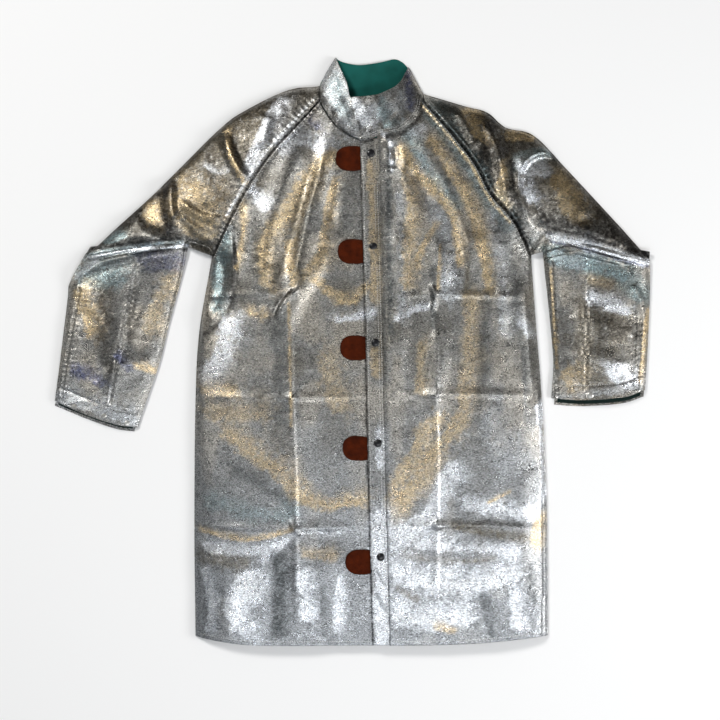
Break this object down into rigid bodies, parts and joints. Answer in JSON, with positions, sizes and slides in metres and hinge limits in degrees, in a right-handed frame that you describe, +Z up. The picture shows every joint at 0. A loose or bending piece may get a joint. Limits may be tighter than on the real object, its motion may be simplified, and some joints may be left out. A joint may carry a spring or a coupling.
{
  "type": "aluminised protective coat",
  "caption": "Knee-length aluminised heat-protective coat laid flat, with raglan sleeves, stand collar, snap placket with leather pull tabs and cotton lining.",
  "frame": {"origin": "middle of the coat's outline, on the floor that the back lies on", "axes": "+X to the wearer's left, +Y from the hem to the collar, +Z up off the floor through the front"},
  "size_m": [1.0319, 1.016, 0.0363],
  "materials": {
    "aluminised_cloth": "metallised foil on woven cloth, crinkled, semi-gloss with gold and grey tints",
    "lining": "matt teal-green cotton",
    "leather": "matt rust-brown split leather",
    "snap_enamel": "glossy black enamel",
    "snap_metal": "bright nickel plate"
  },
  "bodies": {
    "coat_body": {"back_panel": "aluminised_cloth", "back_lining": "lining", "front_right": "aluminised_cloth", "front_lining_right": "lining", "front_left": "aluminised_cloth", "front_lining_left": "lining", "shoulder_right": "aluminised_cloth", "shoulder_left": "aluminised_cloth", "collar_back": "aluminised_cloth", "collar_lining_back": "lining", "collar_front_left": "aluminised_cloth", "collar_lining_left": "lining", "collar_front_right": "aluminised_cloth", "collar_lining_right": "lining", "snap_stud_1": "snap_metal", "snap_stud_2": "snap_metal", "snap_stud_3": "snap_metal", "snap_stud_4": "snap_metal", "snap_stud_5": "snap_metal"},
    "placket": {"placket_band": "aluminised_cloth", "snap_cap_1": "snap_enamel", "snap_cap_2": "snap_enamel", "snap_cap_3": "snap_enamel", "snap_cap_4": "snap_enamel", "snap_cap_5": "snap_enamel", "snap_socket_1": "snap_metal", "snap_socket_2": "snap_metal", "snap_socket_3": "snap_metal", "snap_socket_4": "snap_metal", "snap_socket_5": "snap_metal", "tab_root_1": "leather", "tab_root_2": "leather", "tab_root_3": "leather", "tab_root_4": "leather", "tab_root_5": "leather"},
    "tab_flap_1": {"tab_1": "leather"},
    "tab_flap_2": {"tab_2": "leather"},
    "tab_flap_3": {"tab_3": "leather"},
    "tab_flap_4": {"tab_4": "leather"},
    "tab_flap_5": {"tab_5": "leather"},
    "right_upper_sleeve": {"upper_sleeve_right": "aluminised_cloth"},
    "right_lower_sleeve": {"lower_sleeve_right": "aluminised_cloth", "sleeve_lining_right": "lining", "cuff_snap_right_1": "snap_enamel", "cuff_snap_right_2": "snap_enamel", "cuff_snap_right_3": "snap_enamel"},
    "left_upper_sleeve": {"upper_sleeve_left": "aluminised_cloth"},
    "left_lower_sleeve": {"lower_sleeve_left": "aluminised_cloth", "sleeve_lining_left": "lining", "cuff_snap_left_1": "snap_enamel"}
  },
  "joints": [
    {"name": "placket_fold", "type": "hinge", "parent": "coat_body", "child": "placket", "pos_m": [0.0537, 0, 0.0346], "axis": [-0.0246, 0.9997, 0.0059], "range_deg": [0, 110]},
    {"name": "tab_lift_1", "type": "hinge", "parent": "placket", "child": "tab_flap_1", "pos_m": [0.01599, 0.33, 0.03025], "axis": [-0.0246, 0.9997, 0.0059], "range_deg": [0, 90]},
    {"name": "tab_lift_2", "type": "hinge", "parent": "placket", "child": "tab_flap_2", "pos_m": [0.01992, 0.17, 0.0293], "axis": [-0.0246, 0.9997, 0.0059], "range_deg": [0, 90]},
    {"name": "tab_lift_3", "type": "hinge", "parent": "placket", "child": "tab_flap_3", "pos_m": [0.02401, 0.004, 0.02832], "axis": [-0.0246, 0.9997, 0.0059], "range_deg": [0, 90]},
    {"name": "tab_lift_4", "type": "hinge", "parent": "placket", "child": "tab_flap_4", "pos_m": [0.02826, -0.169, 0.0273], "axis": [-0.0246, 0.9997, 0.0059], "range_deg": [0, 90]},
    {"name": "tab_lift_5", "type": "hinge", "parent": "placket", "child": "tab_flap_5", "pos_m": [0.03308, -0.365, 0.02614], "axis": [-0.0246, 0.9997, 0.0059], "range_deg": [0, 90]},
    {"name": "right_shoulder_fold", "type": "hinge", "parent": "coat_body", "child": "right_upper_sleeve", "pos_m": [-0.2402, 0.27, 0.0315], "axis": [0, 1, 0], "range_deg": [0, 90]},
    {"name": "right_elbow_fold", "type": "hinge", "parent": "right_upper_sleeve", "child": "right_lower_sleeve", "pos_m": [-0.455, 0.168, 0.0285], "axis": [-0.9912, -0.1323, 0], "range_deg": [0, 135]},
    {"name": "left_shoulder_fold", "type": "hinge", "parent": "coat_body", "child": "left_upper_sleeve", "pos_m": [0.3102, 0.27, 0.0315], "axis": [0, -1, 0], "range_deg": [0, 90]},
    {"name": "left_elbow_fold", "type": "hinge", "parent": "left_upper_sleeve", "child": "left_lower_sleeve", "pos_m": [0.5154, 0.159, 0.0285], "axis": [-0.9659, 0.2588, 0], "range_deg": [0, 135]}
  ]
}
